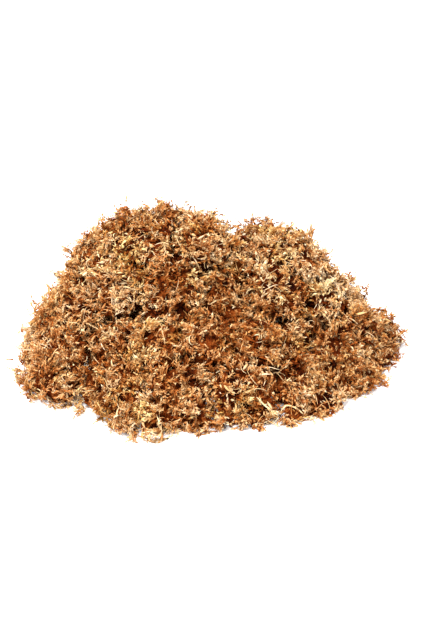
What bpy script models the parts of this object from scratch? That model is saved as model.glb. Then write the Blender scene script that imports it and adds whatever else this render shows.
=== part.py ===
"""A loose heap of dried, chopped sphagnum moss, lying on z = 0, in metres with +Z up.

The heap is a pile of tufts. Each tuft is one closed solid: a small knot of moss with leafy tips raised all over
the side that meets the air. A few bare stems and scraps of bark lie on the tufts, as they do in dried moss.
"""

import math

import bmesh
import bpy
import numpy as np
from mathutils import Vector, noise
from mathutils.bvhtree import BVHTree
from mathutils.geometry import intersect_ray_tri

MM = 0.001
SEED = 11

# The heap's outer form: flattened domes, each (centre x, centre y, half width, half depth, height).
LUMPS = {
    "bed": (1 * MM, -7 * MM, 111 * MM, 94 * MM, 30 * MM),
    "left_peak": (-65 * MM, 9 * MM, 40 * MM, 55 * MM, 73 * MM),
    "top_peak": (-27 * MM, 10 * MM, 60 * MM, 58 * MM, 85 * MM),
    "back_right": (34 * MM, 10 * MM, 48 * MM, 54 * MM, 73 * MM),
    "right_shoulder": (70 * MM, 0 * MM, 32 * MM, 40 * MM, 42 * MM),
    "front_belly": (-14 * MM, -44 * MM, 70 * MM, 55 * MM, 44 * MM),
    "left_side": (-89 * MM, -12 * MM, 31 * MM, 48 * MM, 41 * MM),
    "left_front": (-93 * MM, -48 * MM, 26 * MM, 28 * MM, 25 * MM),
    "front_left": (-68 * MM, -60 * MM, 24 * MM, 22 * MM, 22 * MM),
    "right_toe": (93 * MM, -3 * MM, 24 * MM, 22 * MM, 17 * MM),
    "front_tail": (-44 * MM, -85 * MM, 24 * MM, 26 * MM, 17 * MM),
}
LUMP_ROUNDNESS = 0.6
LUMP_BLEND = 5.0
HALF_SIDE = 130 * MM
TOP = 100 * MM
WELL_ABOVE = 2 * TOP

# The tufts, how finely their sides are cut, and how far apart the ends of their rays lie for what they meet.
TUFT_COUNT = 46
GAP = 0.3 * MM
SPREAD_ROUNDS = 12
SAMPLE_STEP = 5 * MM
LAYER_HEIGHT = 25 * MM
RAY_COUNT = 1500
RAY_STEP = 0.8 * MM
RAY_REACH = 70 * MM
NEVER = 1e-6
HUB_HEIGHT = 4 * MM
SPACING = {"touch": 3 * MM, "floor": 9 * MM, "air": 4.7 * MM, "moss": 14 * MM}
TOUCH_DEPTH = 2 * MM
CREASE = 8 * MM
LUMPINESS = 0.13
LUMP_SIZE = 13 * MM

# The leafy tips raised from each open facet.
TIP_LENGTH = (4.5 * MM, 11 * MM)
TIP_LEAST = 1.6 * MM
TIP_SHORTNESS = 1.4
TIP_CENTRING = 1.6
TIP_CLEARANCE = 0.35 * MM
TIP_TWIST = 0.5
TIP_STRAY = 0.5
TIP_NEAR = 2.5 * TIP_LENGTH[1]
BENT_SHARE = 0.5
BEND_HEIGHT = 0.42
BEND_WIDTH = 0.42
BEND_TURN = 0.25
# A tip that would cross another is tried again with this share of its lean and of its length.
TRIES = ((1.0, 1.0), (0.6, 1.0), (0.3, 0.8), (0.0, 0.8), (0.0, 0.5))

# What lies loose on the tufts: (width, thickness, colour, route seen from above).
LOOSE = {
    "pale_stem_front": (1.3 * MM, 1.1 * MM, "stem_pale", ((36, -92), (41, -89), (46, -89), (51, -91))),
    "pale_stem_foot": (1.4 * MM, 1.1 * MM, "stem_pale", ((22, -88), (28, -92), (35, -94))),
    "pale_stem_left": (1.3 * MM, 1.1 * MM, "stem_pale", ((-69, -26), (-61, -27), (-53, -29))),
    "pale_stem_middle": (1.2 * MM, 1.0 * MM, "stem_pale", ((-6, -36), (2, -31), (11, -30))),
    "pale_stem_back": (1.3 * MM, 1.1 * MM, "stem_pale", ((14, 46), (23, 50), (33, 49))),
    "pale_stem_back_left": (1.3 * MM, 1.1 * MM, "stem_pale", ((-66, 38), (-58, 43), (-50, 44))),
    "pale_stem_right": (1.2 * MM, 1.0 * MM, "stem_pale", ((88, 8), (94, 2), (96, -6))),
    "dark_twig_right": (1.3 * MM, 1.2 * MM, "bark_dark", ((64, -6), (70, 1), (77, 6))),
    "dark_stalk_top": (1.1 * MM, 1.0 * MM, "bark_dark", ((-26, 4), (-22, 9), (-20, 15))),
    "dark_needle_left": (1.0 * MM, 0.9 * MM, "bark_dark", ((-80, 6), (-75, 10), (-70, 12))),
    "bark_scrap_top": (3.2 * MM, 1.2 * MM, "bark_dark", ((1, 9), (4, 10), (8, 10))),
    "bark_scrap_back": (3.0 * MM, 1.2 * MM, "bark_dark", ((-24, 44), (-20, 46), (-16, 46))),
}
LOOSE_STEP = 1.6 * MM
LOOSE_LIFT = 0.4 * MM
LOOSE_ROUNDS = 30
LOOSE_SMOOTHING = 8
LOOSE_TAPER = 0.45
LOOSE_SAMPLE = 0.9 * MM
LOOSE_MARGIN = 0.6 * MM

MOSS_SHARES = {"moss_golden": 0.5, "moss_russet": 0.28, "moss_straw": 0.22}
COLOURS = {
    "moss_golden": (0.50, 0.27, 0.09),
    "moss_russet": (0.33, 0.13, 0.04),
    "moss_straw": (0.66, 0.44, 0.19),
    "stem_pale": (0.76, 0.58, 0.33),
    "bark_dark": (0.05, 0.025, 0.015),
}
ROUGHNESS = 0.9


def heap_height(x, y):
    """Height of the heap's surface over (x, y), as a soft union of the lumps."""
    total = 0.0
    for centre_x, centre_y, half_width, half_depth, height in LUMPS.values():
        inside = 1 - ((x - centre_x) / half_width) ** 2 - ((y - centre_y) / half_depth) ** 2
        total = total + (height * np.clip(inside, 0, None) ** LUMP_ROUNDNESS) ** LUMP_BLEND
    return total ** (1 / LUMP_BLEND)


def heap_samples():
    """Points spread evenly through the heap."""
    reach = np.arange(-HALF_SIDE, HALF_SIDE, SAMPLE_STEP)
    height = np.arange(SAMPLE_STEP / 2, TOP, SAMPLE_STEP)
    x, y, z = np.meshgrid(reach, reach, height, indexing="ij")
    points = np.stack([x.ravel(), y.ravel(), z.ravel()], axis=1)
    return points[points[:, 2] < heap_height(points[:, 0], points[:, 1])]


def tuft_centres(rng):
    """Tuft centres from the top down, each moved to the middle of the moss that is nearest to it."""
    samples = heap_samples()
    centres = samples[rng.choice(len(samples), TUFT_COUNT, replace=False)]
    for _ in range(SPREAD_ROUNDS):
        apart = np.linalg.norm(samples[:, None] - centres[None], axis=2)
        nearest = apart.argmin(axis=1)
        centres = np.array([samples[nearest == i].mean(axis=0) for i in range(TUFT_COUNT)])
    order = np.lexsort((centres[:, 0], -np.round(centres[:, 2] / LAYER_HEIGHT)))
    return centres[order]


def sphere_directions(count, turn):
    """Unit directions in an even spiral over the sphere."""
    step = np.arange(count) + 0.5
    z = 1 - 2 * step / count
    angle = math.pi * (1 + 5**0.5) * step + turn
    ring = np.sqrt(1 - z * z)
    return np.stack([ring * np.cos(angle), ring * np.sin(angle), z], axis=1)


def reach_to_neighbours(centre, others, hub, directions):
    """How far each ray from the hub runs before it is half a gap from the plane halfway to another tuft."""
    away = others - centre
    away = away / np.linalg.norm(away, axis=1)[:, None]
    limit = (((others + centre) / 2 - hub) * away).sum(axis=1) - GAP / 2
    toward = directions @ away.T
    return np.where(toward > NEVER, limit / np.maximum(toward, NEVER), np.inf).min(axis=1)


def reach_to_floor(hub, directions):
    down = -directions[:, 2]
    return np.where(down > NEVER, hub[2] / np.maximum(down, NEVER), np.inf)


def reach_to_air(hub, directions):
    """How far each ray runs before it leaves the heap."""
    along = np.arange(0, RAY_REACH, RAY_STEP)
    points = hub + directions[:, None, :] * along[None, :, None]
    above = points[..., 2] - heap_height(points[..., 0], points[..., 1])
    out = above > 0
    first = np.where(out.any(axis=1), out.argmax(axis=1), len(along) - 1)
    rows = np.arange(len(directions))
    after = above[rows, first]
    before = above[rows, np.maximum(first - 1, 0)]
    share = np.clip(before / np.where(before == after, 1, before - after), 0, 1)
    return along[np.maximum(first - 1, 0)] + share * RAY_STEP


def soft_least(a, b, width):
    """The lesser of a and b, rounded off where they come within width of each other."""
    near = np.clip(width - abs(a - b), 0, None) / width
    return np.minimum(a, b) - near * near * width / 4


class Knot:
    """The body of one tuft: rays from its hub, how far they reach, and what each of them meets.

    It stays on its own side of the planes halfway to the other tufts, so no tuft crosses another.
    """

    def __init__(self, centre, others, rng):
        self.centre = centre
        self.others = others
        self.hub = self.find_hub()
        touches = self.touch_directions()
        directions = sphere_directions(RAY_COUNT, rng.uniform(0, 2 * math.pi))
        directions = np.concatenate([touches, directions])
        moss = reach_to_neighbours(centre, others, self.hub, directions)
        floor = reach_to_floor(self.hub, directions)
        air = reach_to_air(self.hub, directions)
        air_waved = air * (1 + LUMPINESS * self.waves(directions))
        reach = np.minimum(soft_least(air_waved, moss, CREASE), floor)
        meets = np.where(air < moss, "air", "moss")
        meets = np.where(floor <= reach, "floor", meets)
        reach[: len(touches)] = moss[: len(touches)]
        meets = meets.astype("<U5")
        meets[: len(touches)] = "touch"
        chosen = self.choose(self.hub + directions * reach[:, None], meets, rng)
        self.directions = directions[chosen]
        self.reach = reach[chosen]
        self.meets = meets[chosen]

    def find_hub(self):
        """The tuft's centre, or a point low under it where the tuft stands on the floor."""
        down = np.array([[0.0, 0.0, -1.0]])
        below = reach_to_neighbours(self.centre, self.others, self.centre, down)[0]
        if below > self.centre[2]:
            return np.array([self.centre[0], self.centre[1], HUB_HEIGHT])
        return self.centre

    def touch_directions(self):
        """Directions to where this tuft touches its neighbours, each halfway between two centres."""
        halfway = (self.others + self.centre) / 2
        offset = halfway - self.hub
        apart = np.linalg.norm(offset, axis=1)
        directions = offset / apart[:, None]
        moss = reach_to_neighbours(self.centre, self.others, self.hub, directions)
        buried = heap_height(halfway[:, 0], halfway[:, 1]) - halfway[:, 2] > TOUCH_DEPTH
        return directions[buried & (moss > apart - 2 * GAP)]

    def waves(self, directions):
        points = self.hub + directions * 2 * LUMP_SIZE
        return np.array([noise.noise(Vector(p / LUMP_SIZE)) for p in points])

    def choose(self, points, meets, rng):
        """Rays whose ends lie a spacing apart, taken in the order of the kinds in SPACING."""
        order = rng.permutation(len(points))
        order = np.concatenate([order[meets[order] == kind] for kind in SPACING])
        chosen = []
        for i in order:
            if not chosen or np.linalg.norm(points[chosen] - points[i], axis=1).min() >= SPACING[meets[i]]:
                chosen.append(i)
        return chosen

    def point(self, direction, reach):
        return Vector(self.hub + direction * reach)

    def room(self, direction):
        """How far a tip may reach in this direction."""
        one = direction[None]
        moss = reach_to_neighbours(self.centre, self.others, self.hub, one)[0]
        return min(moss, reach_to_floor(self.hub, one)[0]) - TIP_CLEARANCE


def knot_mesh(knot):
    """The tuft's body as a bmesh, its corners joined as the hull of their directions."""
    mesh = bmesh.new()
    corners = [mesh.verts.new(Vector(d)) for d in knot.directions]
    index = {tuple(v.co): i for i, v in enumerate(corners)}
    bmesh.ops.convex_hull(mesh, input=corners)
    bmesh.ops.triangulate(mesh, faces=mesh.faces)
    ray = mesh.verts.layers.int.new("ray")
    for vertex in mesh.verts:
        vertex[ray] = index[tuple(vertex.co)]
    for vertex in mesh.verts:
        vertex.co = knot.point(knot.directions[vertex[ray]], knot.reach[vertex[ray]])
    bmesh.ops.recalc_face_normals(mesh, faces=mesh.faces)
    return mesh, ray


def unit(vector):
    return vector / np.linalg.norm(vector)


def turned(direction, axis, angle):
    """direction turned about axis by angle, as a unit vector."""
    cos, sin = math.cos(angle), math.sin(angle)
    return unit(direction * cos + np.cross(axis, direction) * sin + axis * (axis @ direction) * (1 - cos))


def tip_faces(knot, rays, base, length, twist, weights, bent):
    """Points and triangles of one leafy tip over a facet, or None where there is no room for it."""
    axis, angle = twist
    direction = turned(weights @ rays, axis, angle)
    reach = min(base + length, knot.room(direction))
    if reach - base < TIP_LEAST:
        return None
    if not bent or reach - base < 2 * TIP_LEAST:
        return [knot.point(direction, reach)], ((0, 1, 3), (1, 2, 3), (2, 0, 3))
    middle = rays.mean(axis=0)
    points = []
    for own in rays:
        spread = turned(middle + (own - middle) * BEND_WIDTH, axis, angle * BEND_TURN)
        far = min(base + (reach - base) * BEND_HEIGHT, knot.room(spread))
        points.append(knot.point(spread, far))
    points.append(knot.point(direction, reach))
    foot = ((0, 1, 4), (0, 4, 3), (1, 2, 5), (1, 5, 4), (2, 0, 3), (2, 3, 5))
    return points, foot + ((3, 4, 6), (4, 5, 6), (5, 3, 6))


def edge_hits(start, end, triangle):
    along = end - start
    hit = intersect_ray_tri(*triangle, along, start, True)
    return hit is not None and (hit - start).dot(along) <= along.length_squared


def passes_through(first, second):
    """Whether two triangles that touch do more than share an edge or a corner."""
    own = [p for p in first if p not in second]
    other = [p for p in second if p not in first]
    if len(own) == 2:
        return edge_hits(*own, second) or edge_hits(*other, first)
    return len(own) == 3


def crosses(triangles, present):
    """Whether any of these triangles passes through another of them, or through one that is present."""
    middle = triangles[0][0]
    near = triangles + [t for t in present if (t[0] - middle).length < TIP_NEAR + (t[1] - t[0]).length]
    trees = []
    for group in (triangles, near):
        corners = [p for t in group for p in t]
        trees.append(BVHTree.FromPolygons(corners, [(i, i + 1, i + 2) for i in range(0, len(corners), 3)]))
    return any(passes_through(triangles[i], near[j]) for i, j in trees[0].overlap(trees[1]))


def near_loose(corners, triangles, loose):
    """Whether any of these triangles comes near a piece that lies loose on the tufts."""
    for route, width in loose:
        if min((p - corners[0]).length for p in route) > TIP_NEAR:
            continue
        for a, b, c in triangles:
            side, other = corners[b] - corners[a], corners[c] - corners[a]
            count = math.ceil(max(side.length, other.length) / LOOSE_SAMPLE)
            for i in range(count + 1):
                for j in range(count + 1 - i):
                    spot = corners[a] + side * (i / count) + other * (j / count)
                    if min((p - spot).length for p in route) < width / 2 + LOOSE_MARGIN:
                        return True
    return False


def raise_tip(facet, ray, knot, tuft_axis, present, loose, rng):
    """Points and triangles of a tip over this facet that crosses nothing, or None."""
    corners = [v.co.copy() for v in facet.verts]
    rays = np.array([knot.directions[v[ray]] for v in facet.verts])
    base = float(np.mean([knot.reach[v[ray]] for v in facet.verts]))
    length = TIP_LENGTH[0] + (TIP_LENGTH[1] - TIP_LENGTH[0]) * rng.uniform() ** TIP_SHORTNESS
    axis = unit(tuft_axis + TIP_STRAY * rng.normal(size=3))
    angle = TIP_TWIST * rng.uniform(0.5, 1.0)
    weights = rng.dirichlet((TIP_CENTRING, TIP_CENTRING, TIP_CENTRING))
    bent = rng.uniform() < BENT_SHARE
    for lean, share in TRIES:
        made = tip_faces(knot, rays, base, length * share, (axis, angle * lean), weights, bent)
        if made is None:
            continue
        points, triangles = made
        every = corners + points
        solid = [tuple(every[k] for k in triangle) for triangle in triangles]
        if not crosses(solid, present) and not near_loose(every, triangles, loose):
            return points, triangles, solid
    return None


def raise_tips(mesh, ray, knot, loose, rng):
    """Raise a leafy tip from every facet that meets the air, all leaning round the tuft's own axis."""
    axis = unit(rng.normal(size=3))
    bare = list(mesh.faces)
    present = {face: [tuple(v.co.copy() for v in face.verts)] for face in bare}
    for facet in bare:
        if sum(knot.meets[v[ray]] == "air" for v in facet.verts) < 2:
            continue
        others = [t for face, group in present.items() if face is not facet for t in group]
        made = raise_tip(facet, ray, knot, axis, others, loose, rng)
        if made is None:
            continue
        points, triangles, present[facet] = made
        corners = list(facet.verts) + [mesh.verts.new(p) for p in points]
        for triangle in triangles:
            mesh.faces.new([corners[k] for k in triangle])
    raised = [face for face in bare if len(present[face]) > 1]
    bmesh.ops.delete(mesh, geom=raised, context="FACES_ONLY")


def smooth_route(points, step):
    """Points a step apart along a smooth curve through the given ones."""
    ends = [2 * points[0] - points[1]] + points + [2 * points[-1] - points[-2]]
    route = []
    for before, start, end, after in zip(ends, ends[1:], ends[2:], ends[3:]):
        count = max(2, round((end - start).length / step))
        for i in range(count):
            t = i / count
            route.append(
                0.5 * (2 * start + (end - before) * t + (2 * before - 5 * start + 4 * end - after) * t**2
                       + (3 * start - before - 3 * end + after) * t**3)
            )
    return route + [points[-1]]


def height_under(tufts, point, width):
    """Height of the tufts, or of the floor, under a small patch round this point."""
    heights = [0.0]
    for x, y in ((0, 0), (1, 0), (-1, 0), (0, 1), (0, -1)):
        start = Vector((point.x + x * width / 2, point.y + y * width / 2, WELL_ABOVE))
        hit = tufts.ray_cast(start, Vector((0, 0, -1)))[0]
        if hit is not None:
            heights.append(hit.z)
    return max(heights)


def sideways(route, i):
    """Level direction across the route at its i-th point."""
    along = route[min(i + 1, len(route) - 1)] - route[max(i - 1, 0)]
    return along.cross(Vector((0, 0, 1))).normalized()


def laid_route(plan, width, thickness, tufts):
    """A route seen from above, laid on the tufts: it bridges the hollows and touches the high spots."""
    route = smooth_route([Vector((x * MM, y * MM, 0)) for x, y in plan], LOOSE_STEP)
    heights = [height_under(tufts, p, width) for p in route]
    for _ in route:
        before, after = heights[:1] + heights[:-1], heights[1:] + heights[-1:]
        heights = [max(h, b - LOOSE_STEP, a - LOOSE_STEP) for h, b, a in zip(heights, before, after)]
    for _ in range(LOOSE_SMOOTHING):
        inner = [max(b, (a + c) / 2) for a, b, c in zip(heights, heights[1:], heights[2:])]
        heights = [heights[0]] + inner + [heights[-1]]
    for point, height in zip(route, heights):
        point.z = height + thickness / 2 + LOOSE_LIFT
    sides = [sideways(route, i) * width / 2 for i in range(len(route))]
    for _ in range(LOOSE_ROUNDS):
        gaps = [tufts.find_nearest(p)[3] - thickness / 2 for p in route]
        gaps += [tufts.find_nearest(p + s)[3] for p, s in zip(route, sides)]
        gaps += [tufts.find_nearest(p - s)[3] for p, s in zip(route, sides)]
        for point in route:
            point.z -= (min(gaps) - LOOSE_LIFT) / 2
    return route


def loose_mesh(route, width, thickness):
    """A four-sided stem or scrap along the route, tapering to both ends."""
    mesh = bmesh.new()
    rings = []
    for i, point in enumerate(route):
        along = (route[min(i + 1, len(route) - 1)] - route[max(i - 1, 0)]).normalized()
        side = sideways(route, i)
        top = side.cross(along)
        taper = 1 - LOOSE_TAPER * abs(2 * i / (len(route) - 1) - 1) ** 3
        offsets = (side * width, top * thickness, -side * width, -top * thickness)
        rings.append([mesh.verts.new(point + offset * taper / 2) for offset in offsets])
    for ring, after in zip(rings, rings[1:]):
        for k in range(4):
            mesh.faces.new((ring[k], ring[(k + 1) % 4], after[(k + 1) % 4], after[k]))
    mesh.faces.new(rings[0])
    mesh.faces.new(rings[-1])
    bmesh.ops.triangulate(mesh, faces=mesh.faces)
    bmesh.ops.recalc_face_normals(mesh, faces=mesh.faces)
    return mesh


def material(name):
    made = bpy.data.materials.get(name) or bpy.data.materials.new(name)
    made.use_nodes = True
    shader = made.node_tree.nodes["Principled BSDF"]
    shader.inputs["Base Color"].default_value = (*COLOURS[name], 1)
    shader.inputs["Roughness"].default_value = ROUGHNESS
    shader.inputs["Metallic"].default_value = 0
    return made


def place(name, mesh, colour):
    data = bpy.data.meshes.new(name)
    mesh.to_mesh(data)
    mesh.free()
    data.materials.append(material(colour))
    bpy.context.collection.objects.link(bpy.data.objects.new(name, data))


def bare_surface(knots):
    """All the tufts' bodies without their tips, to lay the loose pieces on."""
    points, faces = [], []
    for knot in knots:
        mesh, _ = knot_mesh(knot)
        mesh.verts.index_update()
        faces += [[v.index + len(points) for v in f.verts] for f in mesh.faces]
        points += [v.co.copy() for v in mesh.verts]
        mesh.free()
    return BVHTree.FromPolygons(points, faces)


def centre_heap():
    """Move the whole heap so that the middle of its outline is over the origin."""
    corners = np.array([v.co for obj in bpy.data.objects for v in obj.data.vertices])
    middle = (corners.min(axis=0) + corners.max(axis=0)) / 2
    for obj in bpy.data.objects:
        obj.location = (-middle[0], -middle[1], 0)


def main():
    for obj in list(bpy.data.objects):
        bpy.data.objects.remove(obj)
    rng = np.random.default_rng(SEED)
    centres = tuft_centres(rng)
    knots = [Knot(c, np.delete(centres, i, axis=0), rng) for i, c in enumerate(centres)]
    surface = bare_surface(knots)
    loose = []
    for name, (width, thickness, colour, plan) in LOOSE.items():
        route = laid_route(plan, width, thickness, surface)
        loose.append((route, width))
        place(name, loose_mesh(route, width, thickness), colour)
    for number, knot in enumerate(knots, start=1):
        mesh, ray = knot_mesh(knot)
        raise_tips(mesh, ray, knot, loose, rng)
        place(f"tuft_{number:02d}", mesh, rng.choice(list(MOSS_SHARES), p=list(MOSS_SHARES.values())))
    centre_heap()


main()
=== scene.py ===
"""The looks of a loose heap of dried, chopped sphagnum moss, in metres with +Z up.

Each tuft of the frame is dressed with small knots of leafy branchlets, and with the loose leaves, bare fibres
and curled shreds that lie between them. The stems and scraps of bark on the heap are made again, finer.
"""

import itertools
import math

import bpy
import numpy as np
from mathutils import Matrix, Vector
from mathutils.bvhtree import BVHTree
from mathutils.kdtree import KDTree


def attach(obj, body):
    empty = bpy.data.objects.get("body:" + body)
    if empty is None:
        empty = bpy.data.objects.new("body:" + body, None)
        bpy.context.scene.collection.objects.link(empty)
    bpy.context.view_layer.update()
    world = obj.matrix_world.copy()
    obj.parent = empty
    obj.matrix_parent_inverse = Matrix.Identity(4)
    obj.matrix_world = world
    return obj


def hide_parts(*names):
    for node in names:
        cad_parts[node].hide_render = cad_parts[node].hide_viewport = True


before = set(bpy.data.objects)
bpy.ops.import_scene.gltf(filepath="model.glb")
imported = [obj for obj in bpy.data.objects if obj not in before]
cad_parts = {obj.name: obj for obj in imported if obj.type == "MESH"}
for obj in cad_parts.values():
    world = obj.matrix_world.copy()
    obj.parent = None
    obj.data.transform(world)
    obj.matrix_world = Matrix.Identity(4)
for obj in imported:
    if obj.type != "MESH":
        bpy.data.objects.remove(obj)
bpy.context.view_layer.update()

MM = 0.001
SEED = 5

# What is too small to matter: a share or a slant, the length of a vector, and a gap between two points.
TINY = 1e-6
LEAST_LENGTH = 1e-12
WELD = 0.001 * MM

# The camera stands where the photograph's did: its fall, its distance, and what a pixel spans on the heap.
FRAME_SIZE = (421, 631)
CAMERA_FALL = math.radians(29)
CAMERA_AWAY = 0.9
CAMERA_TARGET = Vector((-2 * MM, 3 * MM, 25 * MM))
CAMERA_BACK = Vector((0, -math.cos(CAMERA_FALL), math.sin(CAMERA_FALL)))
CAMERA_UP = Vector((0, math.sin(CAMERA_FALL), math.cos(CAMERA_FALL)))
CAMERA_RIGHT = Vector((1, 0, 0))
CAMERA_PLACE = CAMERA_TARGET + CAMERA_BACK * CAMERA_AWAY
PIXEL = 0.648 * MM
SENSOR = 36.0
CAMERA_SIGHT = 50

# Light: a bright white room, with a broad soft lamp high above the front.
ROOM_LIGHT = 1.36
LAMP_PLACE = Vector((-0.3, -0.45, 1.15))
LAMP_SIZE = 0.6
LAMP_POWER = 33.0
LAMP_COLOUR = (1.0, 0.97, 0.93)
FLOOR_SIZE = 14.0
FLOOR_COLOUR = (0.93, 0.93, 0.95)
FLOOR_ROUGHNESS = 0.8

# Where bits may be rooted: how many spots are tried, and how open to the light they have to be.
SPOTS_PER_MM2 = 0.35
LIGHT_RAYS = 10
LIGHT_REACH = 22 * MM
LIGHT_SPREAD = 0.98
LEAST_OPEN = 0.05
JUST_OFF = 0.05 * MM
NEAR_FLOOR = 0.5 * MM
FACING_DOWN = -0.5

# Smooth random fields: how many waves each sums, how much those differ in size, and how big its lumps are.
WAVES = 16
WAVE_SIZES = (0.6, 1.5)
FLOW_SIZE = 9 * MM
CLUMP_SIZE = 6 * MM
PATCH_SIZE = 13 * MM
SHADE_SIZE = 11 * MM

# The small knots of moss that the branchlets fan out of: their spacing, fill and rise, and how deep they go.
KNOT_SPACING = 8.8 * MM
KNOT_SIZES = (0.75, 1.3)
KNOT_REACH = 3.4 * MM
KNOT_FILL = 0.12
KNOT_RISE = 2.2 * MM
KNOT_DEPTH = 3.2 * MM
ROOT_DEPTH = 0.6 * MM

# The leafy branchlets: how many dress the heap, how they head and bend, and how much they differ in size.
BRANCHLETS = 15000
BRANCHLET_LENGTH = 6.8 * MM
BRANCHLET_LENGTHS = (0.6, 1.35)
BRANCHLET_WIDTHS = (0.75, 1.25)
BRANCHLET_TURN = (0.4, 2.1)
BRANCHLET_SWAY = 0.5
FROM_HUB = 0.8
WITH_SWEEP = 0.9
ASTRAY = 0.45
SIDE_ASTRAY = 0.8
WOBBLE = 0.12
STATIONS = 10
STEM_REACH = 1.3
STEM_RADIUS = 0.24 * MM
STEM_TAPER = 0.6
# A stem is darker at its foot and paler at its tip: partly its own colour, partly painted shade deep in the
# knot and painted highlight at the tip.
STEM_COLOUR_AND_LIGHT = (-0.22, 0.1)

# The leaves on a branchlet: ranges, with angles in degrees, and pairs of a share at its foot and its fall.
LEAVES = 8
FIRST_LEAF = 0.03
LEAFY_STRETCH = 0.93
LEAF_SHIFT = 0.3
LEAF_TURN = 2.4
LEAF_TURN_SHIFT = 0.5
LEAF_LENGTH = 3.0 * MM
LEAF_LENGTHS = (0.75, 1.25)
LEAF_SHORTENING = (1.1, 0.35)
LEAF_WIDTH = 1.3 * MM
LEAF_WIDTHS = (0.75, 1.2)
LEAF_NARROWING = (1.1, 0.4)
LEAF_THICKNESS = 0.2 * MM
LEAF_OPENING = (10, 34)
LEAF_CLOSING = (1.15, 0.5)
LEAF_CURL = (-12, 22)
LEAF_TINT_NOISE = 0.03
# Leaves grow paler towards the branchlet's tip: partly their own colour, partly painted shade deep in the
# knot and painted highlight at the tip.
LEAF_COLOUR_AND_LIGHT_RISE = 0.3
LEAF_TINT_MIDDLE = 0.45

# One leaf: how far out on the stem it stands, where it is widest, with a foot or without, and its tints:
# a darker keel, and a darker foot and paler tip, partly its own colour, partly painted shade and highlight.
LEAF_STAND = 0.6
WIDEST_WITH_FOOT = 0.42
WIDEST_WITHOUT = 0.22
KEEL_SHARE = 0.9
LEAF_FOOT_COLOUR_AND_SHADE = -0.12
KEEL_TINT = -0.04
LEAF_TIP_COLOUR_AND_HIGHLIGHT = 0.11

# Whether the leaves of each kind of branchlet have a foot: six kinds do without, to spare triangles.
BRANCHLET_KINDS = (False,) * 6 + (True,) * 3

# What lies loose between them: thin bare stems, flat curled shreds and single leaves, with their ranges.
STRAYS = {
    "fibre": {
        "count": 1300, "length": (5 * MM, 13 * MM), "width": (0.7, 1.2), "turn": (0.5, 2.6),
        "tone": 0.76, "spread": 0.1, "rise": 0.7,
    },
    "curl": {
        "count": 1300, "length": (4 * MM, 9 * MM), "width": (0.7, 1.3), "turn": (0.8, 3.6),
        "tone": 0.75, "spread": 0.12, "rise": 0.8,
    },
    "flake": {
        "count": 2800, "length": (1.6 * MM, 3.4 * MM), "width": (0.7, 1.4), "turn": (0.0, 1.0),
        "tone": 0.68, "spread": 0.15, "rise": 1.0,
    },
}
STRAY_LIGHT_POWER = 1.5
STRAY_FILL = 0.5
STRAY_ROOTS_MM = (-0.3, 2.4)
STRAY_SIDE = 0.5
STRAY_SWAY = 0.9

# The bits fallen round the foot: from how low and steep a place, how far off they lie, and their ranges.
FALLEN = 70
FALLEN_FROM = 6 * MM
FALLEN_SLOPE = 0.7
FALLEN_AWAY_MM = (0.5, 4.0)
FALLEN_LIFT = 0.5 * MM
FALLEN_SIDE = 0.4
FALLEN_LENGTHS_MM = (2.5, 5.5)
FALLEN_WIDTHS = (0.6, 1.0)
FALLEN_TURN = (-0.3, 0.5)
FALLEN_TONE = 0.6
FALLEN_TONE_NOISE = 0.12

# The tufts' own bodies, seen between the knots: painted dark as the shade there, paler on their rises as
# painted light, and darker still at the crevices.
CORE_FOOT = 0.3 * MM
CORE_SINK = 1.0 * MM
CORE_BLUNTING = 0.65
CORE_PAINTED_SHADE = 0.12
CORE_CLUMP_TONE = 0.05
CORE_RISE_PAINTED_LIGHT = 0.15
CORE_RISE = 6 * MM
CORE_ROUGHNESS = 0.25 * MM

# What lies on the floor keeps this far off it, and what would reach below it is pressed into a thin layer.
FLOOR_REST = 0.12 * MM
FLOOR_LAYER = 0.12
FLOOR_PRESS = 5 * MM

# Tone of each kind of moss, how much it varies from patch to patch, and the painted shade: darker where a
# spot is shut off from the light, and towards the edges of its knot.
KIND_TONES = {"moss_golden": 0.6, "moss_russet": 0.53, "moss_straw": 0.67}
PATCH_TONE = 0.04
CLUMP_TONE = 0.04
KNOT_TONE = 0.055
BIT_TONE = 0.06
PAINTED_SHADE_STRENGTH = 0.3
PAINTED_SHADE_BELOW = 0.5
KNOT_EDGE_PAINTED_SHADE = 0.1
KNOT_EDGE_SHADE_START = 0.4

# Hue is yellow below nought and rusty above it, and varies from place to place, knot to knot and bit to bit.
SHADE_HUE = 0.25
KNOT_HUE = 0.4
BIT_HUE = 0.1
HUE_REACH = 1.3

# Deep dark pits that the photograph shows, by their places in it, and how wide and deep they are. The core
# sinks there and no bits stand in them; round them the moss and the core are painted darker as shade.
CREVICES = (
    (145, 234), (177, 258), (186, 243), (209, 266), (133, 300), (70, 308), (185, 314), (228, 320),
    (281, 303), (281, 322), (318, 333), (298, 368), (90, 355), (50, 384), (117, 398), (183, 415),
    (232, 380), (250, 403), (327, 395), (279, 402),
)
CREVICE_REACH = 3.4 * MM
CREVICE_SHADE_REACH = 1.3 * CREVICE_REACH
CREVICE_CORE_SHADE_REACH = 1.5 * CREVICE_REACH
CREVICE_WIDTH = 2.3 * MM
CREVICE_OUTER = 18 * MM
CREVICE_DEPTH = 3.5 * MM
CREVICE_PAINTED_SHADE = 0.3
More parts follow.
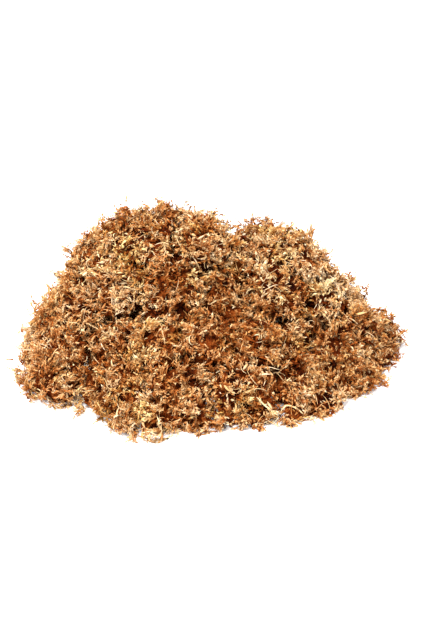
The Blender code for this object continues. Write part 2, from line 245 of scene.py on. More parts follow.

# Broad patches that the photograph shows: place in it, reach in millimetres, how much paler and how rusty.
# They are partly the moss's own colour and partly painted light and shade.
COLOUR_AND_SHADE_AREAS = (
    ((38, 300), 14, 0.06, -0.9),
    ((122, 256), 15, 0.05, -0.9),
    ((150, 283), 12, -0.24, -0.3),
    ((205, 282), 12, 0.09, 0.0),
    ((225, 260), 11, 0.08, -0.5),
    ((265, 280), 12, 0.20, -0.6),
    ((178, 330), 8, 0.0, -0.7),
    ((130, 355), 9, 0.02, -0.7),
    ((150, 420), 14, 0.12, -0.8),
    ((112, 412), 10, 0.12, -0.7),
    ((375, 350), 10, 0.05, -0.4),
    ((62, 335), 16, 0.0, 0.2),
    ((42, 350), 14, 0.12, 0.0),
    ((265, 325), 9, -0.04, 0.5),
    ((275, 385), 9, 0.10, 0.4),
    ((300, 232), 10, 0.0, 0.4),
    ((112, 222), 12, -0.22, 0.2),
    ((156, 236), 12, 0.10, 0.0),
    ((80, 250), 11, -0.22, 0.2),
    ((200, 236), 12, -0.16, 0.1),
    ((133, 311), 14, 0.20, 0.0),
    ((110, 362), 13, -0.16, 0.0),
    ((168, 342), 19, -0.18, 0.1),
    ((225, 328), 20, -0.18, 0.1),
    ((278, 342), 14, -0.18, 0.1),
    ((322, 345), 13, -0.10, 0.2),
    ((337, 370), 12, -0.12, 0.0),
    ((168, 400), 12, -0.20, 0.1),
    ((202, 425), 11, -0.18, 0.0),
    ((290, 405), 10, -0.20, 0.0),
    ((225, 405), 12, 0.16, 0.0),
    ((230, 370), 8, 0.14, 0.0),
    ((68, 400), 14, 0.18, 0.0),
    ((245, 252), 14, 0.09, -0.2),
    ((290, 262), 14, 0.08, -0.2),
    ((328, 284), 12, 0.17, 0.5),
    ((340, 309), 14, 0.21, 0.3),
    ((388, 335), 9, 0.05, 0.0),
)

# Where the moss stands farther out, or lies closer: place in the photograph, reach in millimetres, and share.
GROWTHS = (
    ((393, 334), 8, 1.6), ((56, 306), 9, 1.4), ((42, 322), 8, 0.9), ((33, 345), 8, 0.8),
    ((38, 386), 8, 0.8), ((54, 392), 8, 0.5), ((108, 408), 8, 0.8), ((150, 430), 8, 1.4),
    ((344, 278), 6, 0.9), ((215, 218), 6, 0.8), ((108, 222), 6, 0.7), ((74, 260), 7, -0.6),
    ((24, 372), 7, -0.5), ((256, 416), 8, -0.6), ((292, 410), 7, -0.5), ((245, 224), 7, -0.6),
    ((158, 210), 5, -0.5), ((137, 212), 5, -0.5), ((385, 312), 7, -0.5), ((364, 384), 8, -0.6),
)
GROWTH_LIFT = 2.6 * MM
GROWTH_LENGTHENING = 0.6

# Straws, curls and dark bits that stand out in the photograph: their two ends in it, and their bend.
PALE_STRAWS = (
    ((91, 297), (114, 278), 0.15), ((79, 274), (80, 281), 0.6), ((154, 262), (159, 266), 0.8),
    ((148, 307), (156, 303), 0.7), ((99, 305), (102, 311), 0.5), ((125, 286), (126, 292), 0.3),
    ((241, 364), (247, 374), 1.2), ((246, 367), (259, 387), 0.5), ((246, 393), (270, 392), -0.9),
    ((239, 400), (240, 413), 0.5), ((191, 419), (202, 409), 0.6), ((243, 320), (247, 338), 0.5),
    ((284, 342), (289, 348), 0.6), ((308, 367), (313, 371), 0.3),
)
PALE_CURLS = (
    ((155, 231), (160, 230), 3.6), ((194, 344), (199, 343), 4.6), ((216, 375), (220, 374), 4.4),
    ((166, 296), (167, 307), 0.4), ((196, 262), (203, 266), 1.8), ((120, 424), (127, 427), 1.2),
    ((262, 423), (270, 419), 1.0), ((272, 424), (280, 415), 0.5),
)
DARK_HAIRS = (((189, 212), (189, 202), 0.25), ((81, 241), (87, 236), 0.2))
DARK_STALKS = (
    ((178, 216), (174, 200), 0.3), ((176, 209), (179, 201), 0.3), ((80, 248), (87, 238), 0.1),
    ((318, 258), (333, 262), 0.15), ((143, 213), (141, 205), 0.3), ((154, 212), (152, 205), 0.4),
    ((208, 216), (219, 211), 0.2),
)
STRAW_LIFT = 0.9 * MM
DEEPEST_LEAN = 0.6
LAID_SWAY = 0.25
STRAW_WIDTH = 0.8
STRAW_TONE = 0.6
CURL_TONE = 0.7
HAIR_WIDTH = 0.5
STALK_WIDTH = 1.5
DARK_TONE = 0.45

# Colours from the darkest to the palest, as shares along each ramp.
MOSS_RAMP = (
    (0.00, (0.012, 0.002, 0.001)),
    (0.18, (0.085, 0.013, 0.001)),
    (0.36, (0.238, 0.060, 0.010)),
    (0.52, (0.382, 0.156, 0.046)),
    (0.68, (0.528, 0.302, 0.135)),
    (0.84, (0.650, 0.470, 0.270)),
    (1.00, (0.720, 0.565, 0.390)),
)
STEM_RAMP = (
    (0.00, (0.200, 0.100, 0.040)),
    (0.40, (0.560, 0.370, 0.160)),
    (0.75, (0.780, 0.620, 0.370)),
    (1.00, (0.880, 0.800, 0.620)),
)
BARK_RAMP = (
    (0.00, (0.006, 0.003, 0.002)),
    (0.50, (0.035, 0.018, 0.012)),
    (0.80, (0.110, 0.070, 0.052)),
    (1.00, (0.300, 0.250, 0.220)),
)
RUST_TINT = (0.97, 0.80, 0.55)
YELLOW_TINT = (0.96, 0.98, 0.70)

# Finishes: the ramp, how strong the mottling is, and the roughness. All share one mottling and one grain.
MOSS_FINISH = (MOSS_RAMP, 0.5, 0.78)
FINISHES = {
    "moss_golden": MOSS_FINISH,
    "moss_russet": MOSS_FINISH,
    "moss_straw": MOSS_FINISH,
    "stem_pale": (STEM_RAMP, 0.5, 0.6),
    "bark_dark": (BARK_RAMP, 0.7, 0.7),
}

# The mottling and the grain: their scales, how strong and how high the grain is, and how much it shines.
MOTTLE_SCALE = 1100.0
MOTTLE_DETAIL = 2.0
BLOTCH_SCALE = 420.0
BLOTCH_DETAIL = 1.0
GRAIN_STRENGTH = 0.6
GRAIN_HEIGHT = 0.6 * MM
SPECULAR = 0.03

# Sockets of a colour mix: its share, its two colours and its result.
MIX_SHARE = 0
MIX_COLOURS = (6, 7)
MIX_RESULT = 2

# The stems and scraps that lie on the heap: their side shoots, how long and steep these are, and roughness.
LOOSE = {
    "pale_stem_front": (2, 3 * MM, 0.5, 0.08),
    "pale_stem_foot": (5, 6 * MM, 0.5, 0.12),
    "pale_stem_left": (2, 3 * MM, 0.4, 0.08),
    "pale_stem_middle": (2, 3 * MM, 0.6, 0.08),
    "pale_stem_back": (3, 4 * MM, 0.5, 0.08),
    "pale_stem_back_left": (2, 3 * MM, 0.5, 0.08),
    "pale_stem_right": (2, 3 * MM, 0.4, 0.08),
    "dark_twig_right": (3, 4 * MM, 0.5, 0.16),
    "dark_stalk_top": (3, 5 * MM, 1.3, 0.12),
    "dark_needle_left": (0, 0.0, 0.0, 0.06),
    "bark_scrap_top": (0, 0.0, 0.0, 0.3),
    "bark_scrap_back": (0, 0.0, 0.0, 0.3),
}
RING_CORNERS = 4
LOOSE_SIDES = 8
LOOSE_FINENESS = 4
LOOSE_TONES = {"stem_pale": 0.55, "bark_dark": 0.5}
END_SQUARENESS = 12
END_LEAST = 0.04
RIDGE_SHARE = 0.6
STREAK_TONE = 0.12
SPECKLE_TONE = 0.08

# A side shoot: where along its stem it leaves, how long it is, which way it heads, its bow and its taper.
SHOOT_FIRST = 0.25
SHOOT_STRETCH = 0.7
SHOOT_SHIFT = 0.6
SHOOT_LENGTHS = (0.6, 1.1)
SHOOT_AHEAD = 0.8
SHOOT_ASIDE = 0.8
SHOOT_BOW = 0.18
SHOOT_RADIUS = 0.32 * MM
SHOOT_TAPER = (1.1, 0.7)
SHOOT_STATIONS = 6

# Where the corners of a triangle lie in its square of the bake map, which it shares with the next one.
MAP_NEAR = 0.06
MAP_FAR = 0.86


def unit(vectors):
    """The vectors at length one."""
    return vectors / np.maximum(np.linalg.norm(vectors, axis=-1, keepdims=True), LEAST_LENGTH)


def perpendicular(vectors, wanted):
    """The part of the wanted directions that lies across these unit vectors."""
    return unit(wanted - (wanted * vectors).sum(axis=-1, keepdims=True) * vectors)


def scatter(rng, count):
    """Unit vectors in random directions."""
    return unit(rng.normal(size=(count, 3)))


def falling(pair, along):
    """A share that starts at the first of the pair and falls by the second over the whole stem."""
    return pair[0] - pair[1] * along


def wave_field(rng, size):
    """A smooth random field over space, about -2 to 2, with lumps of about this size."""
    ways = unit(rng.normal(size=(WAVES, 3)))
    steps = ways * (math.pi / size / rng.uniform(*WAVE_SIZES, size=(WAVES, 1)))
    phases = rng.uniform(0, 2 * math.pi, size=WAVES)
    return lambda points: np.sin(points @ steps.T + phases).sum(axis=-1) * math.sqrt(2 / WAVES)


def vector_field(rng, size):
    """A smooth random field of directions, with swirls of about this size."""
    fields = [wave_field(rng, size) for _ in range(3)]
    return lambda points: unit(np.stack([f(points) for f in fields], axis=-1))


def spread_out(points, spacing, sizes, rng):
    """Numbers of points taken in random order, each its own share of the spacing from those before it."""
    cells, chosen = {}, []
    reach = spacing * sizes[1]
    size = rng.uniform(*sizes, len(points))
    steps = list(itertools.product((-1, 0, 1), repeat=3))
    places = np.floor(points / reach).astype(int).tolist()
    for i in rng.permutation(len(points)):
        x, y, z = places[i]
        near = [j for dx, dy, dz in steps for j in cells.get((x + dx, y + dy, z + dz), ())]
        if not near or np.linalg.norm(points[near] - points[i], axis=1).min() >= spacing * size[i]:
            cells.setdefault((x, y, z), []).append(i)
            chosen.append(i)
    return np.array(chosen)


def nearest(points, others):
    """For each point, which of the others is nearest and how far off it is."""
    tree = KDTree(len(others))
    for i, other in enumerate(others):
        tree.insert(other, i)
    tree.balance()
    found = [tree.find(p)[1:] for p in points]
    return np.array([i for i, _ in found]), np.array([far for _, far in found])


class Shape:
    """One kind of bit, drawn round a straight stem.

    Each point has its share along the stem, its two offsets from it in metres, and how much paler it is.
    """

    def __init__(self):
        self.rows = []
        self.faces = []
        self.smooth = []

    def point(self, along, out, across, pale=0.0):
        """Adds a point and gives its number."""
        self.rows.append((along, out, across, pale))
        return len(self.rows) - 1

    def face(self, corners, smooth):
        """Adds a face as a fan of triangles."""
        for k in range(2, len(corners)):
            self.faces.append((corners[0], corners[k - 1], corners[k]))
            self.smooth.append(smooth)

    def tube(self, sides, shares, radii, pale, flatness=1.0):
        """A closed tapering stem, ending in a point, with its tint at the foot and at the tip."""
        turns = [2 * math.pi * k / sides for k in range(sides)]
        rings = []
        for share, radius in zip(shares[:-1], radii):
            tint = pale[0] + (pale[1] - pale[0]) * share
            around = [(radius * math.cos(t) * flatness, radius * math.sin(t)) for t in turns]
            rings.append([self.point(share, out, across, tint) for out, across in around])
        tip = self.point(shares[-1], 0, 0, pale[1])
        for ring, after in zip(rings, rings[1:]):
            for k in range(sides):
                self.face((ring[k], ring[k - 1], after[k - 1], after[k]), True)
        for k in range(sides):
            self.face((rings[-1][k], rings[-1][k - 1], tip), True)
        self.face(rings[0], False)

    def leaf(self, along, around, length, width, opening, curl, pale, footed):
        """A small closed pointed leaf with a keel, standing off the stem at its opening angle."""
        cos, sin = math.cos(around), math.sin(around)

        def spot(ahead, aside, lift, rise, tint):
            reach = STEM_RADIUS * LEAF_STAND + ahead * math.sin(rise) + lift * math.cos(rise)
            share = along + (ahead * math.cos(rise) - lift * math.sin(rise)) / BRANCHLET_LENGTH
            return self.point(share, reach * cos - aside * sin, reach * sin + aside * cos, tint)

        widest = (WIDEST_WITH_FOOT if footed else WIDEST_WITHOUT) * length
        left = spot(widest, width / 2, 0, opening, pale)
        right = spot(widest, -width / 2, 0, opening, pale)
        keel = spot(widest * KEEL_SHARE, 0, LEAF_THICKNESS, opening, pale + KEEL_TINT)
        tip = spot(length, 0, 0, opening + curl, pale + LEAF_TIP_COLOUR_AND_HIGHLIGHT)
        if footed:
            foot = spot(0, 0, 0, opening, pale + LEAF_FOOT_COLOUR_AND_SHADE)
            for a, b in ((foot, left), (left, tip), (tip, right), (right, foot)):
                self.face((a, b, keel), False)
            self.face((foot, right, tip), False)
            self.face((foot, tip, left), False)
        else:
            for a, b in ((left, tip), (tip, right), (right, left)):
                self.face((a, b, keel), False)
            self.face((left, right, tip), False)

    def done(self):
        """The finished shape, with its lists as arrays."""
        rows = np.array(self.rows)
        self.along = np.clip(rows[:, 0], 0, STEM_REACH - TINY)
        self.offset = rows[:, 1:3]
        self.pale = rows[:, 3]
        self.faces = np.array(self.faces)
        self.smooth = np.array(self.smooth)
        return self


def branchlet_shape(rng, footed):
    """A short stem clad in leaves that overlap, paler and closer to the stem towards its tip."""
    shape = Shape()
    shape.tube(3, (0.0, 0.5, 1.0), (STEM_RADIUS, STEM_RADIUS * STEM_TAPER), STEM_COLOUR_AND_LIGHT)
    for i in range(LEAVES):
        along = FIRST_LEAF + LEAFY_STRETCH * (i + rng.uniform(-LEAF_SHIFT, LEAF_SHIFT)) / LEAVES
        shape.leaf(
            max(along, 0),
            i * LEAF_TURN + rng.uniform(-LEAF_TURN_SHIFT, LEAF_TURN_SHIFT),
            LEAF_LENGTH * rng.uniform(*LEAF_LENGTHS) * falling(LEAF_SHORTENING, along),
            LEAF_WIDTH * rng.uniform(*LEAF_WIDTHS) * falling(LEAF_NARROWING, along),
            math.radians(rng.uniform(*LEAF_OPENING)) * falling(LEAF_CLOSING, along),
            math.radians(rng.uniform(*LEAF_CURL)),
            rng.normal() * LEAF_TINT_NOISE + LEAF_COLOUR_AND_LIGHT_RISE * (along - LEAF_TINT_MIDDLE),
            footed,
        )
    return shape.done()


def fibre_shape():
    """A thin bare stem."""
    shape = Shape()
    shares = (0, 0.15, 0.3, 0.45, 0.6, 0.75, 0.88, 1)
    radii = [0.24 * MM] * 5 + [0.2 * MM, 0.14 * MM]
    shape.tube(3, shares, radii, pale=(-0.06, 0.06))
    return shape.done()


def curl_shape():
    """A flat shred that narrows to both ends."""
    shape = Shape()
    shares = (0, 0.12, 0.26, 0.4, 0.54, 0.68, 0.82, 1)
    widths = [0.25 * MM, 0.5 * MM, 0.66 * MM, 0.7 * MM, 0.62 * MM, 0.5 * MM, 0.32 * MM]
    shape.tube(4, shares, widths, pale=(-0.05, 0.1), flatness=0.28)
    return shape.done()


def flake_shape():
    """A loose broad leaf, hollowed like a spoon. Its edges have a half width and a height at two places."""
    shape = Shape()
    places = [(0.3, 0.75 * MM, 0.35 * MM), (0.65, 0.65 * MM, 0.3 * MM)]
    foot = shape.point(0, 0, 0, pale=-0.1)
    tip = shape.point(1, 0.2 * MM, 0, pale=0.1)
    left = [shape.point(share, high, half) for share, half, high in places]
    right = [shape.point(share, high, -half) for share, half, high in places]
    back = [shape.point(share, -0.12 * MM, 0, pale=-0.05) for share, _, _ in places]
    face = [shape.point(share, 0.05 * MM, 0, pale=0.03) for share, _, _ in places]
    for middle, turn in ((back, 1), (face, -1)):
        for edge, way in ((left, turn), (right, -turn)):
            near = (foot, edge[0], middle[0])
            between = (edge[0], edge[1], middle[1], middle[0])
            far = (edge[1], tip, middle[1])
            for corners in (near, between, far):
                shape.face(corners[::way], True)
    return shape.done()


def bent_stems(bits):
    """Centre lines and frames of many bits at once: each curves towards its own side and sways across."""
    share = np.linspace(0, STEM_REACH, STATIONS)
    turn = bits["turn"][:, None] * (share + bits["wobble"][:, None] * np.sin(2 * math.pi * share))
    sway = bits["sway"][:, None] * np.sin(math.pi * share)
    ahead = bits["forward"][:, None]
    aside = bits["side"][:, None]
    across = np.cross(bits["forward"], bits["side"])[:, None]
    cos, sin = np.cos(turn)[..., None], np.sin(turn)[..., None]
    tangent = np.cos(sway)[..., None] * (cos * ahead + sin * aside) + np.sin(sway)[..., None] * across
    normal = cos * aside - sin * ahead
    binormal = np.cross(tangent, normal)
    step = (tangent[:, 1:] + tangent[:, :-1]) / 2 * (share[1] * bits["length"][:, None, None])
    start = np.zeros_like(step[:, :1])
    centre = bits["root"][:, None] + np.concatenate([start, np.cumsum(step, axis=1)], axis=1)
    return share[1], centre, normal, binormal


def grown(shape, bits):
    """Points, triangles, tones, hues and smoothness of one shape grown as every one of these bits."""
    count = len(bits["root"])
    spacing, centre, normal, binormal = bent_stems(bits)
    place = shape.along / spacing
    before = np.minimum(place.astype(int), STATIONS - 2)
    part = (place - before)[:, None]

    def at(values):
        return values[:, before] * (1 - part) + values[:, before + 1] * part

    out = shape.offset * bits["width"][:, None, None]
    points = (at(centre) + out[..., :1] * at(normal) + out[..., 1:] * at(binormal)).reshape(-1, 3)
    below = points[:, 2] < FLOOR_REST
    points[below, 2] = FLOOR_REST + FLOOR_LAYER * np.clip(FLOOR_REST - points[below, 2], 0, FLOOR_PRESS)
    faces = shape.faces[None] + (np.arange(count) * len(shape.along))[:, None, None]
    tone = bits["tone"][:, None] + shape.pale[None]
    hue = np.repeat(bits["hue"], len(shape.along))
    return points, faces.reshape(-1, 3), tone.ravel(), hue, np.tile(shape.smooth, count)


def node_mesh(name):
    """The points of a frame node, each once, and its triangles."""
    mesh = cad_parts[name].data
    points = np.array([v.co for v in mesh.vertices])
    rounded = np.round(points / WELD)
    _, first, index = np.unique(rounded, axis=0, return_index=True, return_inverse=True)
    faces = np.array([p.vertices for p in mesh.polygons])
    return points[first], index.reshape(-1)[faces]


def node_slot(name):
    """The material slot of a frame node."""
    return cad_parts[name].data.materials[0].name.split(".")[0]


def face_normals(points, faces):
    """The triangles' unit normals and their areas."""
    a, b, c = points[faces[:, 0]], points[faces[:, 1]], points[faces[:, 2]]
    doubled = np.cross(b - a, c - a)
    return unit(doubled), np.linalg.norm(doubled, axis=1) / 2


def point_normals(points, faces):
    """Unit normals at the points, from the triangles round each."""
    normals, areas = face_normals(points, faces)
    total = np.zeros_like(points)
    for k in range(3):
        np.add.at(total, faces[:, k], normals * areas[:, None])
    return unit(total)


def pixel_ray(pixel):
    """Direction from the camera through a place in the photograph."""
    across = (pixel[0] - FRAME_SIZE[0] / 2) * PIXEL / CAMERA_AWAY
    down = (pixel[1] - FRAME_SIZE[1] / 2) * PIXEL / CAMERA_AWAY
    return (CAMERA_RIGHT * across - CAMERA_UP * down - CAMERA_BACK).normalized()


class Heap:
    """The tufts' open surface: spots to root bits at, with their light, tuft, knot, tone, hue and growth."""

    def __init__(self, names, rng):
        self.meshes = [node_mesh(name) for name in names]
        starts = np.cumsum([0] + [len(points) for points, _ in self.meshes[:-1]])
        every = np.concatenate([points for points, _ in self.meshes])
        faces = np.concatenate([faces + start for (_, faces), start in zip(self.meshes, starts)])
        self.tree = BVHTree.FromPolygons([Vector(p) for p in every], faces.tolist())
        found = [self.open_spots(*mesh, rng) for mesh in self.meshes]
        self.tuft = np.repeat(np.arange(len(names)), [len(spots) for spots, _, _ in found])
        self.place, self.normal, self.light = (np.concatenate(column) for column in zip(*found))
        self.crevices = self.all_seen(CREVICES)
        # Near a crevice a spot counts as shut off from the light: fewer bits root there, and its painted
        # shade is deeper.
        self.light = self.light * (1 - self.shut(self.place, CREVICE_REACH))
        self.knots = spread_out(self.place, KNOT_SPACING, KNOT_SIZES, rng)
        self.knot, self.off = nearest(self.place, self.place[self.knots])
        self.flow = vector_field(rng, FLOW_SIZE)
        self.clumps = wave_field(rng, CLUMP_SIZE)
        self.tone, self.hue = self.looks(rng)
        self.growth = sum(share * self.near(pixel, reach) for pixel, reach, share in GROWTHS)

    def open_spots(self, points, faces, rng):
        """Spots spread over one tuft's surface, with their normals and how open each is to the light."""
        normals, areas = face_normals(points, faces)
        count = int(areas.sum() / MM**2 * SPOTS_PER_MM2)
        chosen = rng.choice(len(faces), count, p=areas / areas.sum())
        weights = rng.dirichlet((1, 1, 1), count)
        spots = (points[faces[chosen]] * weights[..., None]).sum(axis=1)
        normal = normals[chosen]
        ways = unit(normal[:, None] + unit(rng.normal(size=(count, LIGHT_RAYS, 3))) * LIGHT_SPREAD)
        light = np.zeros(count)
        for i in range(count):
            start = Vector(spots[i] + normal[i] * JUST_OFF)
            for way in ways[i]:
                if self.tree.ray_cast(start, Vector(way), LIGHT_REACH)[0] is None:
                    light[i] += 1 / LIGHT_RAYS
        on_floor = (spots[:, 2] < NEAR_FLOOR) & (normal[:, 2] < FACING_DOWN)
        kept = (light >= LEAST_OPEN) & ~on_floor
        return spots[kept], normal[kept], light[kept]

    def seen_at(self, pixel):
        """How far along the ray through this place in the photograph the tufts begin, or None."""
        _, _, _, far = self.tree.ray_cast(CAMERA_PLACE, pixel_ray(pixel))
        return far

    def all_seen(self, pixels):
        """The points of the tufts seen at these places in the photograph, where there is moss at them."""
        seen = [(pixel_ray(p), self.seen_at(p)) for p in pixels]
        return np.array([CAMERA_PLACE + ray * far for ray, far in seen if far is not None])

    def shut(self, points, reach):
        """How much of a crevice is at each of these points, from 0 to 1."""
        _, far = nearest(points, self.crevices)
        return np.exp(-((far / reach) ** 2))

    def clear_of_crevices(self, bits):
        """The bits that leave the crevices open, seen from the front."""
        middle = bits["root"] + bits["forward"] * bits["length"][:, None] / 2
        kept = np.ones(len(middle), bool)
        for place in self.crevices:
            outward = np.array((CAMERA_PLACE - Vector(place)).normalized())
            for points in (bits["root"], middle):
                ahead = (points - place) @ outward
                aside = np.linalg.norm(points - place - ahead[:, None] * outward, axis=1)
                kept &= (aside > CREVICE_WIDTH) | (abs(ahead) > CREVICE_OUTER)
        return some(bits, kept)

    def looks(self, rng):
        """Tone and hue at every spot: its patch, clump and knot, and painted shade from its light, knot edge
        and crevices.
        """
        patches, shades = wave_field(rng, PATCH_SIZE), wave_field(rng, SHADE_SIZE)
        tone = PATCH_TONE * patches(self.place) + CLUMP_TONE * self.clumps(self.place)
        tone += (rng.normal(size=len(self.knots)) * KNOT_TONE)[self.knot]
        # Painted shade: a spot that is shut off from the light is darker.
        tone -= PAINTED_SHADE_STRENGTH * np.clip(PAINTED_SHADE_BELOW - self.light, 0, 1)
        # Painted light and shade: a knot is paler in its middle and darker towards its edges, in the gaps
        # between knots.
        tone -= KNOT_EDGE_PAINTED_SHADE * (np.clip(self.off / KNOT_SPACING, 0, 1) - KNOT_EDGE_SHADE_START)
        # Painted shade round the crevices.
        tone -= CREVICE_PAINTED_SHADE * self.shut(self.place, CREVICE_SHADE_REACH)
        hue = SHADE_HUE * shades(self.place) + (rng.normal(size=len(self.knots)) * KNOT_HUE)[self.knot]
        # Paler and darker patches: partly the moss's own colour, partly painted light and shade.
        for pixel, reach, paler, rustier in COLOUR_AND_SHADE_AREAS:
            near = self.near(pixel, reach)
            tone += paler * near
            hue += rustier * near
        return tone, hue

    def near(self, pixel, reach):
        """How near every spot is, from 0 to 1, to the tufts' point at this place in the photograph."""
        middles = self.all_seen([pixel])
        if not len(middles):
            return np.zeros(len(self.place))
        return np.exp(-((np.linalg.norm(self.place - middles[0], axis=1) / (reach * MM)) ** 2))


def make_bits(root, forward, side, length, width, turn, sway, tone, hue, rng):
    """Many bits at once: where each starts, how it heads and bends, its size and its looks."""
    return {
        "root": root,
        "forward": forward,
        "side": perpendicular(forward, side),
        "length": length,
        "width": width,
        "turn": turn,
        "sway": sway,
        "wobble": rng.uniform(-WOBBLE, WOBBLE, len(root)),
        "tone": tone,
        "hue": hue,
    }


def some(bits, chosen):
    """Only the chosen ones of these bits."""
    return {name: values[chosen] for name, values in bits.items()}


def branchlets(heap, own, base, count, rng):
    """Leafy branchlets that fan out of the middle of each knot, sweep one way and curl back."""
    share = np.sqrt(heap.light[own]) * (KNOT_FILL + np.exp(-((heap.off[own] / KNOT_REACH) ** 2)))
    chosen = rng.choice(own, count, p=share / share.sum())
    normal, middle = heap.normal[chosen], heap.knots[heap.knot[chosen]]
    dome = np.clip(1 - (heap.off[chosen] / KNOT_SPACING) ** 2, 0, None)
    growth = heap.growth[chosen]
    root = heap.place[chosen] + normal * (KNOT_RISE * dome - ROOT_DEPTH + GROWTH_LIFT * growth)[:, None]
    hub = heap.place[middle] - heap.normal[middle] * KNOT_DEPTH
    sweep = perpendicular(normal, heap.flow(root))
    forward = unit(FROM_HUB * unit(root - hub) + WITH_SWEEP * sweep + ASTRAY * scatter(rng, count))
    side = -normal + SIDE_ASTRAY * scatter(rng, count)
    stretch = 1 + GROWTH_LENGTHENING * growth
    length = BRANCHLET_LENGTH * rng.uniform(*BRANCHLET_LENGTHS, count) * stretch
    width = rng.uniform(*BRANCHLET_WIDTHS, count)
    turn = rng.uniform(*BRANCHLET_TURN, count)
    sway = rng.uniform(-BRANCHLET_SWAY, BRANCHLET_SWAY, count)
    tone = base + heap.tone[chosen] + rng.normal(size=count) * BIT_TONE
    hue = heap.hue[chosen] + rng.normal(size=count) * BIT_HUE
    return make_bits(root, forward, side, length, width, turn, sway, tone, hue, rng)


def strays(heap, own, count, kind, rng):
    """Fibres, shreds or loose leaves that lie on a tuft."""
    nearness = np.exp(-((heap.off[own] / KNOT_REACH) ** 2))
    share = heap.light[own] ** STRAY_LIGHT_POWER * (STRAY_FILL + nearness)
    chosen = rng.choice(own, count, p=share / share.sum())
    normal = heap.normal[chosen]
    flat = perpendicular(normal, scatter(rng, count))
    forward = unit(flat + normal * rng.uniform(0.0, kind["rise"], (count, 1)))
    side = -normal + STRAY_SIDE * scatter(rng, count)
    root = heap.place[chosen] + normal * rng.uniform(*STRAY_ROOTS_MM, (count, 1)) * MM
    tone = kind["tone"] + heap.tone[chosen] + rng.normal(size=count) * kind["spread"]
    hue = heap.hue[chosen] + rng.normal(size=count) * BIT_HUE
    length = rng.uniform(*kind["length"], count)
    width = rng.uniform(*kind["width"], count)
    turn = rng.uniform(*kind["turn"], count)
    sway = rng.uniform(-STRAY_SWAY, STRAY_SWAY, count)
    return make_bits(root, forward, side, length, width, turn, sway, tone, hue, rng)


def fallen(heap, count, rng):
    """Bits that lie on the floor, just off the foot of the heap."""
    low = np.flatnonzero((heap.place[:, 2] < FALLEN_FROM) & (heap.normal[:, 2] < FALLEN_SLOPE))
    chosen = rng.choice(low, count)
    level = heap.place[chosen] * (1, 1, 0)
    away = unit(level) * rng.uniform(*FALLEN_AWAY_MM, (count, 1)) * MM
    root = level + away + (0, 0, FLOOR_REST + FALLEN_LIFT)
    forward = unit(scatter(rng, count) * (1, 1, 0))
    side = np.tile((0.0, 0.0, 1.0), (count, 1)) + FALLEN_SIDE * scatter(rng, count)
    tone = FALLEN_TONE + rng.normal(size=count) * FALLEN_TONE_NOISE
    length = rng.uniform(*FALLEN_LENGTHS_MM, count) * MM
    width = rng.uniform(*FALLEN_WIDTHS, count)
    turn = rng.uniform(*FALLEN_TURN, count)
    sway = rng.uniform(-STRAY_SWAY, STRAY_SWAY, count)
    return make_bits(root, forward, side, length, width, turn, sway, tone, heap.hue[chosen], rng)


def laid_bits(heap, spans, width, tone, rng):
    """Bits that lie on the heap between the two places in the photograph that each span gives."""
    rows = []
    for start, end, bend in spans:
        far = heap.seen_at(start)
        other = heap.seen_at(end)
        if far is None and other is None:
            continue
        far = other if far is None else far
        other = far if other is None else other
        across = math.dist(start, end) * PIXEL
        other = far + max(-DEEPEST_LEAN * across, min(DEEPEST_LEAN * across, other - far))
        root = CAMERA_PLACE + pixel_ray(start) * (far - STRAW_LIFT)
        chord = CAMERA_PLACE + pixel_ray(end) * (other - STRAW_LIFT) - root
        way = chord.normalized()
        side = CAMERA_BACK.cross(way).normalized()
        half = bend / 2
        forward = way * math.cos(half) - side * math.sin(half)
        rows.append((root, forward, side, chord.length * half / math.sin(half), bend))
    root, forward, side = (np.array([row[k] for row in rows]) for k in range(3))
    length, turn = (np.array([row[k] for row in rows]) for k in (3, 4))
    count = len(rows)
    tones = tone + rng.normal(size=count) * BIT_TONE
    sway = rng.uniform(-LAID_SWAY, LAID_SWAY, count)
    widths = np.full(count, width)
    return make_bits(root, forward, side, length, widths, turn, sway, tones, np.zeros(count), rng)


def core(points, faces, heap, rng):
    """The tuft's own body, drawn in a little and roughened: the inner moss between the knots, painted dark as
    shade.
    """
    normals = point_normals(points, faces)
    low = points[:, 2] < CORE_FOOT
    ends = np.concatenate([faces[:, [0, 1]], faces[:, [1, 2]], faces[:, [2, 0]]])
    edges, index = np.unique(np.sort(ends, axis=1), axis=0, return_inverse=True)
    around, number = np.zeros_like(points), np.zeros(len(points))
    for one, other in ((0, 1), (1, 0)):
        np.add.at(around, edges[:, one], points[edges[:, other]])
        np.add.at(number, edges[:, one], 1)
    peak = np.clip(((points - around / number[:, None]) * normals).sum(axis=1), 0, None)
    sink = CORE_SINK + CORE_BLUNTING * peak + CREVICE_DEPTH * heap.shut(points, CREVICE_SHADE_REACH)
    sunk = points - normals * sink[:, None]
    sunk[low, 2] = points[low, 2]
    middles = sunk[edges].mean(axis=1) + rng.normal(size=(len(edges), 3)) * CORE_ROUGHNESS
    middles[low[edges].all(axis=1), 2] = 0
    ab, bc, ca = index.reshape(3, -1) + len(points)
    a, b, c = faces.T
    quarters = ((a, ab, ca), (ab, b, bc), (ca, bc, c), (ab, bc, ca))
    split = np.concatenate([np.stack(corners, axis=1) for corners in quarters])
    every = np.concatenate([sunk, middles])
    every[:, 2] = np.maximum(every[:, 2], 0)
    rise = np.concatenate([peak, peak[edges].mean(axis=1)])
    # Painted shade: the body is dark all over, paler where it rises as painted light, and darker still round
    # the crevices.
    tone = CORE_PAINTED_SHADE + CORE_CLUMP_TONE * heap.clumps(every) + CORE_RISE_PAINTED_LIGHT * np.clip(rise / CORE_RISE, 0, 1)
    tone -= CORE_PAINTED_SHADE * heap.shut(every, CREVICE_CORE_SHADE_REACH)
    return every, split, tone, np.zeros(len(every)), np.zeros(len(split), bool)


def ring_route(name):
    """The middles of a loose piece's rings, end to end, with its half width and half thickness at each."""
    points, _ = node_mesh(name)
    chord = np.linalg.svd(points - points.mean(axis=0))[2][0]
    rings = points[np.argsort(points @ chord)].reshape(-1, RING_CORNERS, 3)
    middles = rings.mean(axis=1)
    reach = np.sort(np.linalg.norm(rings - middles[:, None], axis=2), axis=1)
    return middles, reach[:, -1], reach[:, 0]


